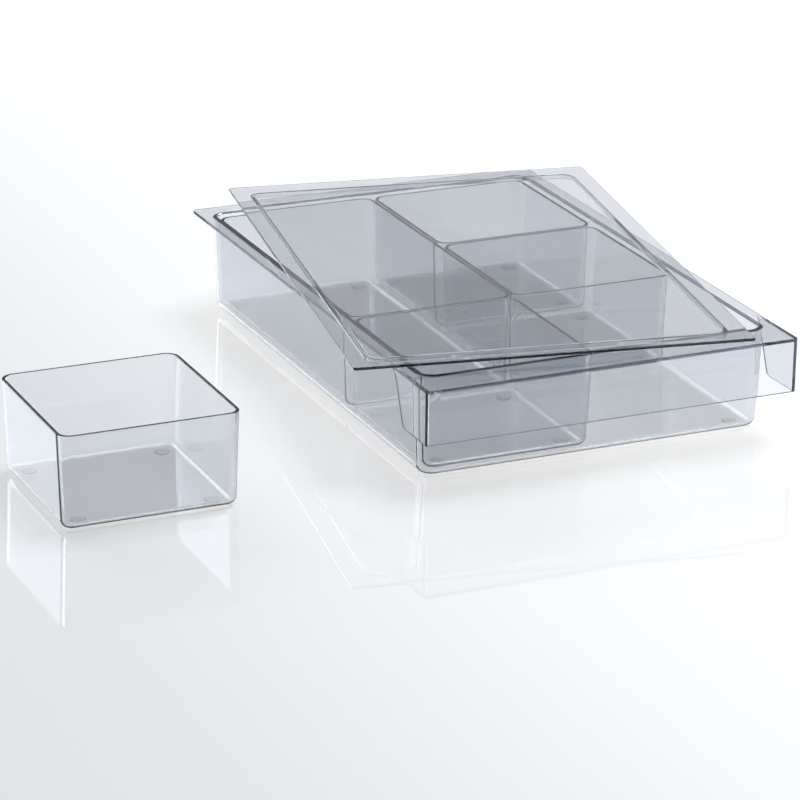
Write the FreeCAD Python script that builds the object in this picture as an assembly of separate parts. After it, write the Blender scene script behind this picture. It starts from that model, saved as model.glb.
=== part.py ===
import FreeCAD, Part
import math
import os

# Drawer organiser set: a deep clear tub with a pull skirt, a lid lying askew on it,
# four open bins standing in the tub and one bin set down on the floor beside it.
# Millimetres. X runs across the tub, Y from its pull skirt to its back, Z up.

# Tub
OPEN_W = 240.0          # clear width of the opening at the rim
OPEN_L = 358.0          # clear length of the opening at the rim
OPEN_R = 10.0           # plan corner radius of the opening
TUB_H = 69.2            # floor to the top of the flange
TUB_WALL = 2.4
TUB_FLOOR = 2.4
TUB_BOTTOM_R = 6.5      # outer fillet between walls and floor
DRAFT = 0.033           # wall lean per unit of height
FLANGE_T = 2.4
FLANGE_SIDE = 10.3      # opening's edge to the flange's edge
FLANGE_BACK = 12.8
PLATE_FRONT = 26.9      # opening's edge to the face of the pull skirt
FLANGE_R = 2.5          # plan corner radius of the flange

# Pull skirt and its two cheeks
SKIRT_H = 36.2
SKIRT_T = 2.4
SKIRT_INNER_R = 0.6     # plan radius inside the skirt's two corners
CHEEK_REACH = 22.3      # how far each cheek runs behind the opening's front edge
CHEEK_SLANT = 13.8      # how far its rear edge leans forward on the way down
CHEEK_TOP_R = 8.0       # sweep from the flange's underside into the rear edge
CHEEK_LOW_R = 4.5       # rounded lower corner

# Bins, in a grid of columns and rows
COLS = 2
ROWS = 3
BIN_GAP = 0.8           # between two neighbouring rims
SIDE_PLAY = 2.4         # between the outer rims and the tub's sides
END_PLAY = 1.8          # between the outer rims and the tub's ends
RIM_DROP = 3.2          # bin rims below the top of the flange
BIN_WALL = 2.3
BIN_FLOOR = 2.3
BIN_R = 9.0             # plan corner radius at the rim
BIN_BOTTOM_R = 5.5
RIM_ROUND = 0.5
LOOSE_X = -298.5        # centre of the bin standing beside the tub
LOOSE_Y = -120.4

# Feet
FOOT_D = 9.5
FOOT_EDGE = 0.35
BIN_FOOT_H = 1.2
TUB_FOOT_H = 1.0
BIN_FOOT_INSET = 15.6   # foot centre from the rim's edge
TUB_FOOT_INSET = 15.0

# Lid
LID_OVERHANG = 0.7      # beyond the flange on each long side when closed
LID_T = 2.0
LID_R = 1.5
RING_GAP = 1.2          # locating ring to the opening when closed
RING_H = 3.2
RING_T = 1.9
LID_TURN = -9.94        # degrees about Z, as it lies
LID_X = 1.7
LID_Y = 3.5

# Sizes that follow from the ones above
BIN_W = (OPEN_W - 2 * SIDE_PLAY - (COLS - 1) * BIN_GAP) / COLS
BIN_L = (OPEN_L - 2 * END_PLAY - (ROWS - 1) * BIN_GAP) / ROWS
LONG_L = 2 * BIN_L + BIN_GAP
PITCH_X = BIN_W + BIN_GAP
PITCH_Y = BIN_L + BIN_GAP
TUB_INSIDE_Z = TUB_FOOT_H + TUB_FLOOR
BIN_H = TUB_H - RIM_DROP - TUB_INSIDE_Z
FLANGE_W = OPEN_W + 2 * FLANGE_SIDE
FLANGE_L = OPEN_L + FLANGE_BACK + PLATE_FRONT
FLANGE_Y = (FLANGE_BACK - PLATE_FRONT) / 2
SKIRT_Z = TUB_H - SKIRT_H
LID_W = FLANGE_W + 2 * LID_OVERHANG
LID_L = OPEN_L + 2 * FLANGE_BACK
RING_W = OPEN_W - 2 * RING_GAP
RING_L = OPEN_L - 2 * RING_GAP
RING_R = OPEN_R - RING_GAP

# name, column centre, row centre, rim length; columns and rows count from the middle
INNER_BINS = [
    ("long_bin", -0.5, 0.5, LONG_L),
    ("rear_bin", 0.5, 1.0, BIN_L),
    ("middle_bin", 0.5, 0.0, BIN_L),
    ("front_bin", -0.5, -1.0, BIN_L),
]


def rounded_wire(w, l, r, x, y, z):
    """Closed outline of a rectangle w by l with corner radius r."""
    edges = []
    spots = [(1, 1, 0), (-1, 1, 90), (-1, -1, 180), (1, -1, 270)]
    for i, (sx, sy, a) in enumerate(spots):
        c = FreeCAD.Vector(x + sx * (w / 2 - r), y + sy * (l / 2 - r), z)
        nx, ny, _ = spots[(i + 1) % 4]
        n = FreeCAD.Vector(x + nx * (w / 2 - r), y + ny * (l / 2 - r), z)
        arc = Part.Arc(Part.Circle(c, FreeCAD.Vector(0, 0, 1), r),
                       math.radians(a), math.radians(a + 90)).toShape()
        out = FreeCAD.Vector(math.cos(math.radians(a + 90)), math.sin(math.radians(a + 90)), 0) * r
        edges.append(arc)
        edges.append(Part.makeLine(c + out, n + out))
    return Part.Wire(edges)


def rounded_plate(w, l, r, x, y, z, t):
    """Flat rounded rectangle of thickness t standing on height z."""
    return Part.Face(rounded_wire(w, l, r, x, y, z)).extrude(FreeCAD.Vector(0, 0, t))


def level_edges(shape, z):
    """Edges that lie wholly at height z."""
    return [e for e in shape.Edges if all(abs(v.Z - z) < 1e-5 for v in e.Vertexes)]


def drafted_block(w, l, r, x, y, z, h, bottom_r):
    """Rounded block, w by l at its top, leaning in by DRAFT, filleted at the bottom."""
    lean = DRAFT * h
    low = rounded_wire(w - 2 * lean, l - 2 * lean, r - lean, x, y, z)
    top = rounded_wire(w, l, r, x, y, z + h)
    block = Part.makeLoft([low, top], True, True)
    return block.makeFillet(bottom_r, level_edges(block, z))


def drafted_cavity(w, l, r, x, y, z, h, bottom_r):
    """Space that fits inside drafted_block walls, carried on 1 mm above the rim."""
    more = 2 * DRAFT
    return drafted_block(w + more, l + more, r + DRAFT, x, y, z, h + 1, bottom_r)


def foot_discs(w, l, x, y, z, h, inset):
    """Four low discs under a w by l box, each with a softened lower edge."""
    discs = []
    for sx in (-1, 1):
        for sy in (-1, 1):
            at = FreeCAD.Vector(x + sx * (w / 2 - inset), y + sy * (l / 2 - inset), z)
            disc = Part.makeCylinder(FOOT_D / 2, h, at)
            discs.append(disc.makeFillet(FOOT_EDGE, level_edges(disc, z)))
    return Part.makeCompound(discs)


def make_bin(l, x, y, z):
    """Open box BIN_W by l at the rim, its foot undersides at height z."""
    base = z + BIN_FOOT_H
    h = BIN_H - BIN_FOOT_H
    shell = drafted_block(BIN_W, l, BIN_R, x, y, base, h, BIN_BOTTOM_R)
    hollow = drafted_cavity(BIN_W - 2 * BIN_WALL, l - 2 * BIN_WALL, BIN_R - BIN_WALL,
                            x, y, base + BIN_FLOOR, h - BIN_FLOOR, BIN_BOTTOM_R - BIN_FLOOR)
    shell = shell.cut(hollow)
    return shell.makeFillet(RIM_ROUND, level_edges(shell, base + h))


def make_bin_feet(l, x, y, z):
    return foot_discs(BIN_W, l, x, y, z, BIN_FOOT_H, BIN_FOOT_INSET)


def cheek_profile():
    """Side view of skirt, cheeks and flange edge, extruded right across the tub."""
    front = -OPEN_L / 2 - PLATE_FRONT
    under = TUB_H - FLANGE_T
    top_y = -OPEN_L / 2 + CHEEK_REACH
    low_y = top_y - CHEEK_SLANT
    back = OPEN_L / 2 + FLANGE_BACK
    side = FLANGE_W / 2 + 1
    outline = [(front - 1, SKIRT_Z), (low_y, SKIRT_Z), (top_y, under), (back + 1, under),
               (back + 1, TUB_H), (front - 1, TUB_H)]
    points = [FreeCAD.Vector(-side, y, z) for y, z in outline + outline[:1]]
    prism = Part.Face(Part.makePolygon(points)).extrude(FreeCAD.Vector(2 * side, 0, 0))
    for y, z, r in ((low_y, SKIRT_Z, CHEEK_LOW_R), (top_y, under, CHEEK_TOP_R)):
        across = [e for e in prism.Edges
                  if all(abs(v.Y - y) < 1e-4 and abs(v.Z - z) < 1e-4 for v in e.Vertexes)]
        prism = prism.makeFillet(r, across)
    return prism


def pull_skirt():
    """Front skirt and both cheeks as one band that follows the flange's outline."""
    outer = rounded_plate(FLANGE_W, FLANGE_L, FLANGE_R, 0, FLANGE_Y, SKIRT_Z, SKIRT_H)
    inner = rounded_plate(FLANGE_W - 2 * SKIRT_T, FLANGE_L - 2 * SKIRT_T, SKIRT_INNER_R,
                          0, FLANGE_Y, SKIRT_Z - 1, SKIRT_H + 2)
    return outer.cut(inner).common(cheek_profile())


def make_tub():
    """Tub, flange, front plate and pull skirt in one moulding."""
    base = TUB_FOOT_H
    h = TUB_H - base
    body = drafted_block(OPEN_W + 2 * TUB_WALL, OPEN_L + 2 * TUB_WALL, OPEN_R + TUB_WALL,
                         0, 0, base, h, TUB_BOTTOM_R)
    flange = rounded_plate(FLANGE_W, FLANGE_L, FLANGE_R, 0, FLANGE_Y, TUB_H - FLANGE_T, FLANGE_T)
    hollow = drafted_cavity(OPEN_W, OPEN_L, OPEN_R, 0, 0, TUB_INSIDE_Z, TUB_H - TUB_INSIDE_Z,
                            TUB_BOTTOM_R - TUB_FLOOR)
    tub = body.fuse(flange).fuse(pull_skirt()).cut(hollow)
    return tub.removeSplitter()


def make_tub_feet():
    return foot_discs(OPEN_W, OPEN_L, 0, 0, 0, TUB_FOOT_H, TUB_FOOT_INSET)


def laid_askew(piece):
    """Turns and shifts a piece of the closed lid to where the lid lies."""
    piece.rotate(FreeCAD.Vector(0, 0, 0), FreeCAD.Vector(0, 0, 1), LID_TURN)
    piece.translate(FreeCAD.Vector(LID_X, LID_Y, 0))
    return piece


def make_lid():
    """Flat sheet of the lid, held one ring height above the flange."""
    return laid_askew(rounded_plate(LID_W, LID_L, LID_R, 0, 0, TUB_H + RING_H, LID_T))


def make_lid_ring():
    """Locating ring under the sheet, which fits the opening and here stands on the flange."""
    outer = rounded_plate(RING_W, RING_L, RING_R, 0, 0, TUB_H, RING_H)
    inner = rounded_plate(RING_W - 2 * RING_T, RING_L - 2 * RING_T, RING_R - RING_T,
                          0, 0, TUB_H - 1, RING_H + 2)
    return laid_askew(outer.cut(inner))


def all_pieces():
    """Every node's shape by name."""
    pieces = {"drawer_tub": make_tub(), "tub_feet": make_tub_feet(),
              "lid": make_lid(), "lid_ring": make_lid_ring()}
    spots = [(n, c * PITCH_X, r * PITCH_Y, l, TUB_INSIDE_Z) for n, c, r, l in INNER_BINS]
    spots.append(("loose_bin", LOOSE_X, LOOSE_Y, BIN_L, 0.0))
    for name, x, y, l, z in spots:
        pieces[name] = make_bin(l, x, y, z)
        pieces[name + "_feet"] = make_bin_feet(l, x, y, z)
    return pieces


def centre_shift(shapes):
    """Move that puts the origin at the bottom centre of the whole set."""
    points = [v.Point for s in shapes for v in s.Vertexes]
    xs = [p.x for p in points]
    ys = [p.y for p in points]
    return FreeCAD.Vector(-(min(xs) + max(xs)) / 2, -(min(ys) + max(ys)) / 2, 0)


pieces = all_pieces()
shift = centre_shift(pieces.values())
os.makedirs("parts", exist_ok=True)
for name, shape in pieces.items():
    shape.translate(shift)
    shape.exportStep("parts/%s.step" % name)
    print(name, shape.isValid(), len(shape.Solids), round(shape.Volume / 1000, 2))
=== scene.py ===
import math

import bmesh
import bpy
from mathutils import Matrix, Vector


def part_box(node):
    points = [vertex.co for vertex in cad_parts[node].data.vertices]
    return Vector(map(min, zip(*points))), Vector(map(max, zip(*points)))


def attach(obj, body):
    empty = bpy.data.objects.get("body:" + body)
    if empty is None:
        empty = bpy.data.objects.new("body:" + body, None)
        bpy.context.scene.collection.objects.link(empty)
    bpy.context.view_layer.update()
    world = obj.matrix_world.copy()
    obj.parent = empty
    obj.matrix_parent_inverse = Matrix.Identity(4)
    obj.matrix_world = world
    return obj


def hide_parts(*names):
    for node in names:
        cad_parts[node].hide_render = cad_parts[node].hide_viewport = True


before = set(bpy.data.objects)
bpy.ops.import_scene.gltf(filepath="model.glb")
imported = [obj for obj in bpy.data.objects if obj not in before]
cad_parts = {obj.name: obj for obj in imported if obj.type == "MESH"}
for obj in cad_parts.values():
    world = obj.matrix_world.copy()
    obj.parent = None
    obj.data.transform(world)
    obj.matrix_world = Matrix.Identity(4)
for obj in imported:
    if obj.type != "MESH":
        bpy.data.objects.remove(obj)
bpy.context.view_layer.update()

# ---------------------------------------------------------------- sizes, in metres
MM = 0.001
DRAFT = 0.033                 # wall lean per unit of height
BIN_WALL = 2.3 * MM
BIN_FLOOR = 2.3 * MM
BIN_R = 9.0 * MM              # plan radius at the rim
BIN_BOTTOM_R = 5.5 * MM
TUB_WALL = 2.4 * MM
TUB_FLOOR = 2.4 * MM
TUB_BOTTOM_R = 6.5 * MM
OPEN_R = 10.0 * MM
FLANGE_T = 2.4 * MM
FLANGE_SIDE = 10.3 * MM
FLANGE_BACK = 12.8 * MM
PLATE_FRONT = 26.9 * MM
FLANGE_R = 2.5 * MM
SKIRT_H = 36.2 * MM
SKIRT_T = 2.4 * MM
SKIRT_INNER_R = 0.6 * MM
CHEEK_REACH = 22.3 * MM
CHEEK_SLANT = 13.8 * MM
CHEEK_TOP_R = 8.0 * MM
CHEEK_LOW_R = 4.5 * MM
LID_R = 1.5 * MM
RING_GAP = 1.2 * MM
RING_T = 1.9 * MM
LID_TURN = math.radians(-9.94)
EDGE = 0.45 * MM              # softened moulded edges
TUB_FILLET = 0.8 * MM         # between the tub's wall and the flange
RING_FILLET = 0.6 * MM        # between the locating ring and the sheet
LID_SPARE = 1.4 * MM          # how much wider the sheet is than the flange
FOOT_R = 4.75 * MM
FOOT_INSET = 0.02 * MM        # keeps a bumper clear of what it stands on and sticks to
FOOT_ROUND = 0.8              # share of its height taken by the rounded lower edge
CORNER_STEPS = 14
FOOT_STEPS = 40

# ---------------------------------------------------------------- light
# painted light: the table glows in place of lamplight on it, dimmer towards its left end as painted
# shade
PAINTED_GLOW_FALL = (1.0, 0.0, 0.0)            # the way the table's painted glow grows, a painted falloff of light
FALL_FROM, FALL_TO = -0.45, 0.3         # metres along it where the painted glow starts and stops growing
PAINTED_GLOW_LOW, PAINTED_GLOW_HIGH = 0.42, 0.76
BRIGHT_SIDE = (0.386, 0.853, 0.35)      # towards the paler wall of the room
OVERHEAD_SIDE = (0.386, 0.12, 0.914)    # towards the two soft lights
REAR_SIDE = (-0.1, 0.853, 0.49)
OVERHEAD, REAR = 8.0, 4.0               # glow of the two soft lights
WALL_SPREAD = (26, 78)                  # degrees where full glow ends and where none is left
LIGHT_SPREAD = (9, 18)
SKY_LOW, SKY_HIGH = 0.08, 0.45          # glow of the dim and the paler wall
TABLE_REACH = 14.0                      # metres from the middle to each edge

# ---------------------------------------------------------------- camera
TURN, RISE, TILT = math.radians(-24.337), math.radians(20.472), math.radians(0.746)
AIM = Vector((-22.17, -144.42, 40.0)) * MM
DISTANCE = 2.3096
LENS, SENSOR = 165.2, 36.0              # millimetres


# ---------------------------------------------------------------- mesh tools
def outline(w, l, r, x=0.0, y=0.0, sides=((0.5,),) * 4):
    """Points round a rectangle w by l with corner radius r, from the right side's rear corner.

    sides gives, for the back, left, front and right edge, where along it the extra points lie."""
    points = []
    spots = [(1, 1), (-1, 1), (-1, -1), (1, -1)]
    for i, (sx, sy) in enumerate(spots):
        cx, cy = x + sx * (w / 2 - r), y + sy * (l / 2 - r)
        for k in range(CORNER_STEPS + 1):
            a = math.pi / 2 * (i + k / CORNER_STEPS)
            points.append((cx + r * math.cos(a), cy + r * math.sin(a)))
        nx, ny = spots[(i + 1) % 4]
        nx, ny = x + nx * (w / 2 - r), y + ny * (l / 2 - r)
        a = math.pi / 2 * (i + 1)
        for t in sides[i]:
            points.append((cx + (nx - cx) * t + r * math.cos(a),
                           cy + (ny - cy) * t + r * math.sin(a)))
    return points


def arc(cu, cz, r, start, end, steps=6):
    """(inset, height) points of a quarter or part circle, angles in degrees."""
    angles = [math.radians(start + (end - start) * k / steps) for k in range(steps + 1)]
    return [(cu + r * math.cos(a), cz + r * math.sin(a)) for a in angles]


def finish_surface(mesh):
    """Smooth shading that keeps edges sharper than 50 degrees crisp."""
    for p in mesh.polygons:
        p.use_smooth = True
    mesh.set_sharp_from_angle(angle=math.radians(50))


def finish_piece(name, bm, body, nodes, material):
    """Makes a closed skin into one smooth piece that rides its body and stands for CAD nodes."""
    bmesh.ops.recalc_face_normals(bm, faces=bm.faces)
    mesh = bpy.data.meshes.new(name)
    bm.to_mesh(mesh)
    bm.free()
    finish_surface(mesh)
    piece = bpy.data.objects.new(name, mesh)
    bpy.context.scene.collection.objects.link(piece)
    piece.modifiers.new("even_normals", "WEIGHTED_NORMAL").keep_sharp = True
    piece.data.materials.append(material)
    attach(piece, body)
    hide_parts(*nodes)


def join_loops(bm, loops):
    """Faces between neighbouring loops of equal length, with a cap on the first and the last."""
    rings = [[bm.verts.new(p) for p in loop] for loop in loops]
    n = len(rings[0])
    for low, high in zip(rings, rings[1:]):
        for k in range(n):
            m = (k + 1) % n
            bm.faces.new((low[k], low[m], high[m], high[k]))
    bm.faces.new(list(reversed(rings[0])))
    bm.faces.new(rings[-1])


def skin(name, loops, body, nodes, material):
    """Moulding whose closed skin runs through the loops, in the clear plastic's slot."""
    bm = bmesh.new()
    join_loops(bm, loops)
    bmesh.ops.remove_doubles(bm, verts=bm.verts, dist=1e-6)
    finish_piece(name, bm, body, nodes, material)


def rounded_turn(before, at, after, r, steps=6):
    """Points of an arc of radius r that rounds the corner at a point of a polyline."""
    u, v = (before - at).normalized(), (after - at).normalized()
    half = u.angle(v) / 2
    centre = at + (u + v).normalized() * (r / math.sin(half))
    first, last = at + u * (r / math.tan(half)), at + v * (r / math.tan(half))
    a, b = first - centre, last - centre
    turn = a.angle_signed(b)
    return [centre + Matrix.Rotation(-turn * k / steps, 2) @ a for k in range(steps + 1)]


def wall_insets(wall, floor, bottom_r, low, top):
    """Outer and inner runs of a drafted wall as (inset from the rim, height) points."""
    lean = math.atan(DRAFT)
    deg = math.degrees(lean)

    def turned(thick, level, r):
        centre_z = level + r
        centre_in = thick + DRAFT * (top - centre_z) + r / math.cos(lean)
        return [(centre_in + 0.4 * MM, level)] + arc(centre_in, centre_z, r, 270, 180 + deg, 8)

    outer = turned(0, low, bottom_r)
    inner = turned(wall, low + floor, bottom_r - floor)
    return outer, list(reversed(inner))


def make_bin(name, material):
    """One open bin as a single moulded skin with rounded rim, drafted walls and bottom radii."""
    low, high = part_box(name)
    x, y = (low.x + high.x) / 2, (low.y + high.y) / 2
    w, l = high.x - low.x, high.y - low.y
    outer, inner = wall_insets(BIN_WALL, BIN_FLOOR, BIN_BOTTOM_R, low.z, high.z)
    rim = arc(EDGE, high.z - EDGE, EDGE, 180, 90, 3)
    rim += arc(BIN_WALL - EDGE, high.z - EDGE, EDGE, 90, 0, 3)
    loops = []
    for inset, z in outer + rim + inner:
        loops.append([(px, py, z) for px, py in
                      outline(w - 2 * inset, l - 2 * inset, BIN_R - inset, x, y)])
    skin(name + "_moulding", loops, name, [name], material)


def cheek_edge(front, top_y, under, low_z):
    """Lower edge of skirt, cheek and flange seen from the side, as (y, z) from front to rear."""
    a, b = Vector((front, low_z)), Vector((top_y - CHEEK_SLANT, low_z))
    c, d = Vector((top_y, under)), Vector((top_y + 60 * MM, under))
    line = rounded_turn(a, b, c, CHEEK_LOW_R) + rounded_turn(b, c, d, CHEEK_TOP_R, 8)
    return [(p.x, p.y) for p in line]


def make_tub(material):
    """Tub, flange, front plate, pull skirt and cheeks as one moulded skin."""
    low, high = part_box("drawer_tub")
    top, under, skirt_z = high.z, high.z - FLANGE_T, high.z - SKIRT_H
    open_w = high.x - low.x - 2 * FLANGE_SIDE
    open_l = high.y - low.y - FLANGE_BACK - PLATE_FRONT
    x, y = (low.x + high.x) / 2, high.y - FLANGE_BACK - open_l / 2
    band_w, band_l, band_y = high.x - low.x, high.y - low.y, (low.y + high.y) / 2
    edge = cheek_edge(low.y, y - open_l / 2 + CHEEK_REACH, under, skirt_z)
    across = [0.25, 0.5, 0.75]

    def low_z(py):
        if py <= edge[0][0]:
            return skirt_z
        for (y0, z0), (y1, z1) in zip(edge, edge[1:]):
            if py <= y1:
                return z0 + (z1 - z0) * (py - y0) / (y1 - y0)
        return under

    def side_shares(l, r, cy):
        rear, reach = cy + l / 2 - r, l - 2 * r
        shares = [(rear - py) / reach for py, _ in reversed(edge)]
        shares = [0.3, 0.6] + shares
        return (across, shares, across, [1 - t for t in reversed(shares)])

    shares = side_shares(band_l, FLANGE_R, band_y)

    def tub_loop(inset, z, w=open_w + 2 * TUB_WALL, l=open_l + 2 * TUB_WALL, r=OPEN_R + TUB_WALL):
        return [(px, py, z) for px, py in
                outline(w - 2 * inset, l - 2 * inset, r - inset, x, y, shares)]

    def band_loop(inset, raised, at_z=None):
        r = FLANGE_R - inset * (FLANGE_R - SKIRT_INNER_R) / SKIRT_T
        l = band_l - 2 * inset
        points = outline(band_w - 2 * inset, l, r, x, band_y, side_shares(l, r, band_y))
        return [(px, py, min(low_z(py) + raised, under) if at_z is None else at_z)
                for px, py in points]

    outer, inner = wall_insets(TUB_WALL, TUB_FLOOR, TUB_BOTTOM_R, low.z, top)
    loops = [tub_loop(inset, z) for inset, z in outer]
    root = DRAFT * FLANGE_T - TUB_FILLET
    fillet = arc(root, under - TUB_FILLET, TUB_FILLET, 0, 90, 4)
    loops += [tub_loop(inset, z) for inset, z in fillet]
    loops.append(band_loop(SKIRT_T, 0, under))
    loops.append(band_loop(SKIRT_T, EDGE))
    loops.append(band_loop(SKIRT_T - EDGE, 0))
    loops.append(band_loop(EDGE, 0))
    for inset, z in arc(EDGE, 0, EDGE, 240, 180, 2):
        raised = z + EDGE
        loops.append([(px, py, low_z(py) + raised) for px, py, _ in band_loop(inset, 0)])
    loops += [band_loop(inset, 0, z) for inset, z in arc(EDGE, top - EDGE, EDGE, 180, 90, 3)]
    lip = arc(TUB_WALL - EDGE, top - EDGE, EDGE, 90, 0, 3)
    loops += [tub_loop(inset, z) for inset, z in lip + inner]
    skin("drawer_tub_moulding", loops, "tub", ["drawer_tub"], material)


def make_lid(material):
    """Lid sheet with its locating ring, as one moulded skin."""
    low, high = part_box("lid")
    ring_low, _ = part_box("lid_ring")
    tub_low, tub_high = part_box("drawer_tub")
    open_w = tub_high.x - tub_low.x - 2 * FLANGE_SIDE
    open_l = tub_high.y - tub_low.y - FLANGE_BACK - PLATE_FRONT
    w, l = open_w + 2 * FLANGE_SIDE + LID_SPARE, open_l + 2 * FLANGE_BACK
    ring_w, ring_l, ring_r = open_w - 2 * RING_GAP, open_l - 2 * RING_GAP, OPEN_R - RING_GAP
    place = Matrix.Translation(((low.x + high.x) / 2, (low.y + high.y) / 2, 0))
    place = place @ Matrix.Rotation(LID_TURN, 4, "Z")
    root = RING_FILLET
    ring = [(RING_T + root + 0.4 * MM, low.z)]
    ring += arc(RING_T + root, low.z - root, root, 90, 180, 4)
    ring += arc(RING_T - EDGE, ring_low.z + EDGE, EDGE, 0, -90, 3)
    ring += arc(EDGE, ring_low.z + EDGE, EDGE, 270, 180, 3)
    ring += arc(-root, low.z - root, root, 0, 90, 4)
    sheet = arc(EDGE, low.z + EDGE, EDGE, 270, 180, 3) + arc(EDGE, high.z - EDGE, EDGE, 180, 90, 3)
    loops = [[(px, py, z) for px, py in outline(ring_w - 2 * i, ring_l - 2 * i, ring_r - i)]
             for i, z in ring]
    loops += [[(px, py, z) for px, py in outline(w - 2 * i, l - 2 * i, LID_R - i)]
              for i, z in sheet]
    loops = [[place @ Vector(p) for p in loop] for loop in loops]
    skin("lid_moulding", loops, "lid", ["lid", "lid_ring"], material)


def make_feet(name, body, material):
    """Four round bumper feet, flat discs with a well rounded lower edge."""
    low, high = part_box(name)
    base, top = low.z + FOOT_INSET, high.z - FOOT_INSET
    rise = FOOT_ROUND * (top - base)
    profile = [(FOOT_R - rise - 0.3 * MM, base)]
    profile += [(FOOT_R - rise + r, base + rise + z) for r, z in arc(0, 0, rise, -90, 0, 4)]
    profile += [(FOOT_R - 0.1 * MM, top), (FOOT_R - 0.4 * MM, top)]
    angles = [2 * math.pi * k / FOOT_STEPS for k in range(FOOT_STEPS)]
    bm = bmesh.new()
    for cx in (low.x + FOOT_R, high.x - FOOT_R):
        for cy in (low.y + FOOT_R, high.y - FOOT_R):
            join_loops(bm, [[(cx + r * math.cos(a), cy + r * math.sin(a), z) for a in angles]
                            for r, z in profile])
    finish_piece(name + "_bumpers", bm, body, [name], material)


# ---------------------------------------------------------------- materials
def linear(code, alpha=1.0):
    """sRGB hex colour as linear values."""
    parts = [int(code[k:k + 2], 16) / 255 for k in (1, 3, 5)]
    values = [c / 12.92 if c <= 0.04045 else ((c + 0.055) / 1.055) ** 2.4 for c in parts]
    return (*values, alpha)


def add(tree, kind, settings=None, sockets=None):
    """Adds one node, with its settings and its socket values or links."""
    node = tree.nodes.new(kind)
    for key, value in (settings or {}).items():
        setattr(node, key, value)
    for key, value in (sockets or {}).items():
        if isinstance(value, bpy.types.NodeSocket):
            tree.links.new(value, node.inputs[key])
        else:
            node.inputs[key].default_value = value
    return node


def new_material(name):
    """An empty material and its node tree."""
    material = bpy.data.materials.new(name)
    material.use_nodes = True
    material.node_tree.nodes.clear()
    return material, material.node_tree


def moulded_polystyrene():
    """Clear smoke polystyrene from a polished mould: sharp reflections, a grey-blue tint that
    deepens along rims and edges, and the faint waviness of thin moulded walls."""
    material, tree = new_material("moulded_clear_polystyrene")
    place = add(tree, "ShaderNodeTexCoord").outputs["Object"]
    # flow waviness some 45 mm across and a few hundredths of a millimetre deep
    waves = add(tree, "ShaderNodeTexNoise", None,
                {"Vector": place, "Scale": 1 / (45 * MM), "Detail": 0.0, "Roughness": 0.4})
    # polish of the mould steel, in patches some 8 mm across, too slight to blur what lies behind
    polish = add(tree, "ShaderNodeTexNoise", None,
                 {"Vector": place, "Scale": 1 / (8 * MM), "Detail": 0.0, "Roughness": 0.5})
    gloss = add(tree, "ShaderNodeMapRange", None,
                {"Value": polish.outputs["Fac"], "From Min": 0.3, "From Max": 0.7,
                 "To Min": 0.002, "To Max": 0.016})
    bump = add(tree, "ShaderNodeBump", None,
               {"Height": waves.outputs["Fac"], "Strength": 0.25, "Distance": 0.05 * MM})
    shader = add(tree, "ShaderNodeBsdfPrincipled", None, {
        "Base Color": linear("#ffffff"), "Metallic": 0.0, "Roughness": gloss.outputs["Result"],
        "IOR": 1.57, "Transmission Weight": 1.0, "Normal": bump.outputs["Normal"]})
    tint = add(tree, "ShaderNodeVolumeAbsorption", None,
               {"Color": linear("#b4bfcb"), "Density": 100.0})
    add(tree, "ShaderNodeOutputMaterial", None,
        {"Surface": shader.outputs["BSDF"], "Volume": tint.outputs["Volume"]})
    return material


def cast_bumper():
    """Clear soft polyurethane bumpers, cast with a slightly satin, faintly orange-peeled skin."""
    material, tree = new_material("cast_clear_polyurethane")
    place = add(tree, "ShaderNodeTexCoord").outputs["Object"]
    # orange peel some 1.2 mm across, coarser than the real skin so that it shows
    peel = add(tree, "ShaderNodeTexNoise", None,
               {"Vector": place, "Scale": 1 / (1.2 * MM), "Detail": 2.0, "Roughness": 0.5})
    satin = add(tree, "ShaderNodeMapRange", None,
                {"Value": peel.outputs["Fac"], "From Min": 0.3, "From Max": 0.7,
                 "To Min": 0.02, "To Max": 0.07})
    bump = add(tree, "ShaderNodeBump", None,
               {"Height": peel.outputs["Fac"], "Strength": 0.2, "Distance": 0.02 * MM})
    shader = add(tree, "ShaderNodeBsdfPrincipled", None, {
        "Base Color": linear("#ffffff"), "Metallic": 0.0, "Roughness": satin.outputs["Result"],
        "IOR": 1.5, "Transmission Weight": 1.0, "Normal": bump.outputs["Normal"]})
    tint = add(tree, "ShaderNodeVolumeAbsorption", None,
               {"Color": linear("#b6c0ca"), "Density": 60.0})
    add(tree, "ShaderNodeOutputMaterial", None,
        {"Surface": shader.outputs["BSDF"], "Volume": tint.outputs["Volume"]})
    return material


def painted_glow_table():
    """White acrylic table whose glow is painted light standing in for lamplight on it: it glows a
    little less towards its left end as painted shade, and its polished face mirrors what stands on
    it."""
    material, tree = new_material("polished_white_table_painted_glow")
    place = add(tree, "ShaderNodeTexCoord").outputs["Object"]
    along = add(tree, "ShaderNodeVectorMath", {"operation": "DOT_PRODUCT"},
                {0: place, 1: PAINTED_GLOW_FALL})
    # painted light: the emission grows along the table, with painted shade at its left end
    glow = add(tree, "ShaderNodeMapRange", {"interpolation_type": "SMOOTHSTEP"},
               {"Value": along.outputs["Value"], "From Min": FALL_FROM, "From Max": FALL_TO,
                "To Min": PAINTED_GLOW_LOW, "To Max": PAINTED_GLOW_HIGH})
    wiping = add(tree, "ShaderNodeTexNoise", None,
                 {"Vector": place, "Scale": 1 / (60 * MM), "Detail": 2.0, "Roughness": 0.5})
    gloss = add(tree, "ShaderNodeMapRange", None,
                {"Value": wiping.outputs["Fac"], "From Min": 0.3, "From Max": 0.7,
                 "To Min": 0.008, "To Max": 0.03})
    shader = add(tree, "ShaderNodeBsdfPrincipled", None, {
        "Base Color": linear("#c8cacc"), "Metallic": 0.0, "Roughness": gloss.outputs["Result"],
        "IOR": 1.9, "Emission Color": linear("#fffefc"),
        "Emission Strength": glow.outputs["Result"]})
    add(tree, "ShaderNodeOutputMaterial", None, {"Surface": shader.outputs["BSDF"]})
    return material


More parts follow.
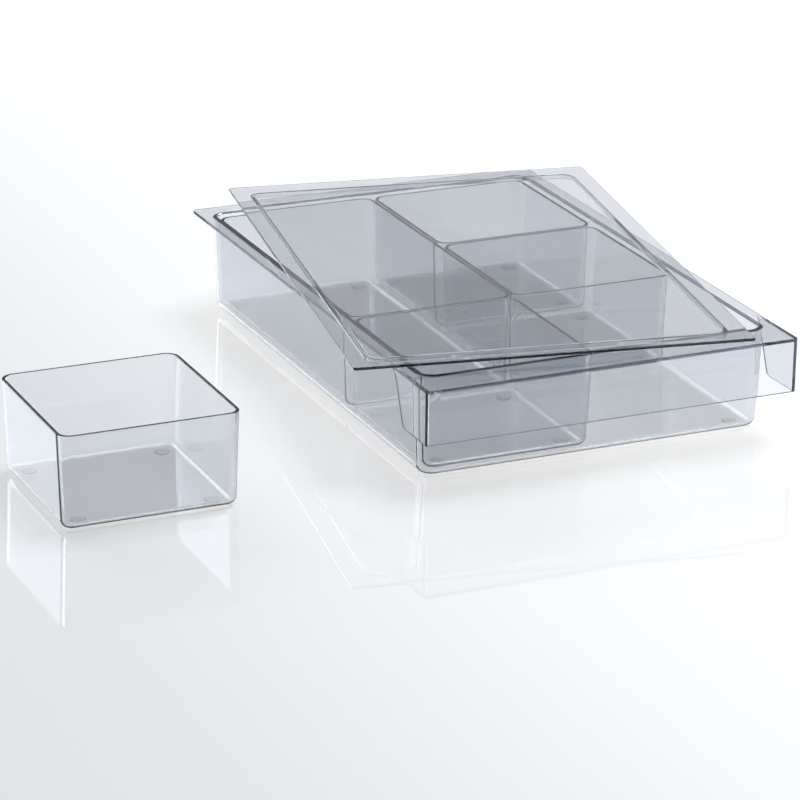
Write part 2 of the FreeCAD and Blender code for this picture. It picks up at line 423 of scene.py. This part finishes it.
# ---------------------------------------------------------------- table, light and camera
def make_table(material):
    """Wide flat table that the set stands on."""
    mesh = bpy.data.meshes.new("floor")
    far = TABLE_REACH
    mesh.from_pydata([(-far, -far, 0), (far, -far, 0), (far, far, 0), (-far, far, 0)],
                     [], [(0, 1, 2, 3)])
    floor = bpy.data.objects.new("floor", mesh)
    bpy.context.scene.collection.objects.link(floor)
    floor.data.materials.append(material)


def soft_patch(tree, towards, inner, outer, low, high):
    """Brightness of one soft round patch of the studio, by the angle from its middle in degrees."""
    sky = add(tree, "ShaderNodeTexCoord").outputs["Generated"]
    middle = tuple(Vector(towards).normalized())
    near = add(tree, "ShaderNodeVectorMath", {"operation": "DOT_PRODUCT"}, {0: sky, 1: middle})
    patch = add(tree, "ShaderNodeMapRange", {"interpolation_type": "SMOOTHSTEP"},
                {"Value": near.outputs["Value"], "From Min": math.cos(math.radians(outer)),
                 "From Max": math.cos(math.radians(inner)), "To Min": low, "To Max": high})
    return patch.outputs["Result"], near.outputs["Value"]


def studio():
    """Dim blue-grey room with a paler wall behind the set, and soft lights overhead and behind."""
    world = bpy.data.worlds.new("studio")
    world.use_nodes = True
    bpy.context.scene.world = world
    tree = world.node_tree
    room, nearness = soft_patch(tree, BRIGHT_SIDE, *WALL_SPREAD, SKY_LOW, SKY_HIGH)
    overhead, _ = soft_patch(tree, OVERHEAD_SIDE, *LIGHT_SPREAD, 0.0, OVERHEAD)
    rear, _ = soft_patch(tree, REAR_SIDE, *LIGHT_SPREAD, 0.0, REAR)
    total = room
    for patch in (overhead, rear):
        total = add(tree, "ShaderNodeMath", {"operation": "ADD"}, {0: total, 1: patch}).outputs[0]
    tone = add(tree, "ShaderNodeMix", {"data_type": "RGBA"},
               {0: nearness, 6: linear("#a3b3cd"), 7: linear("#f6f8fb")})
    backdrop = tree.nodes["Background"]
    tree.links.new(tone.outputs[2], backdrop.inputs["Color"])
    tree.links.new(total, backdrop.inputs["Strength"])


def place_camera():
    """Long lens at the set's left front, looking down on it, with a slight roll."""
    camera = bpy.data.cameras.new("camera")
    camera.lens, camera.sensor_width = LENS, SENSOR
    camera.clip_start, camera.clip_end = 0.05, 60.0
    view = bpy.data.objects.new("camera", camera)
    bpy.context.scene.collection.objects.link(view)
    bpy.context.scene.camera = view
    back = Vector((math.sin(TURN) * math.cos(RISE), -math.cos(TURN) * math.cos(RISE),
                   math.sin(RISE)))
    across = (-back).cross(Vector((0, 0, 1))).normalized()
    upward = across.cross(-back)
    side = across * math.cos(TILT) + upward * math.sin(TILT)
    over = upward * math.cos(TILT) - across * math.sin(TILT)
    spin = Matrix((side, over, back)).transposed()
    view.matrix_world = Matrix.Translation(AIM + back * DISTANCE) @ spin.to_4x4()


# ---------------------------------------------------------------- the set
clear = moulded_polystyrene()
bumper = cast_bumper()
make_tub(clear)
make_lid(clear)
make_feet("tub_feet", "tub", bumper)
for bin_name in ("long_bin", "rear_bin", "middle_bin", "front_bin", "loose_bin"):
    make_bin(bin_name, clear)
    make_feet(bin_name + "_feet", bin_name, bumper)
# the table's glow is painted light, dimmer towards its left end as painted shade
make_table(painted_glow_table())
studio()
place_camera()

scene = bpy.context.scene
scene.view_settings.view_transform = "Standard"
scene.cycles.max_bounces = 64
scene.cycles.transmission_bounces = 64
scene.cycles.glossy_bounces = 16
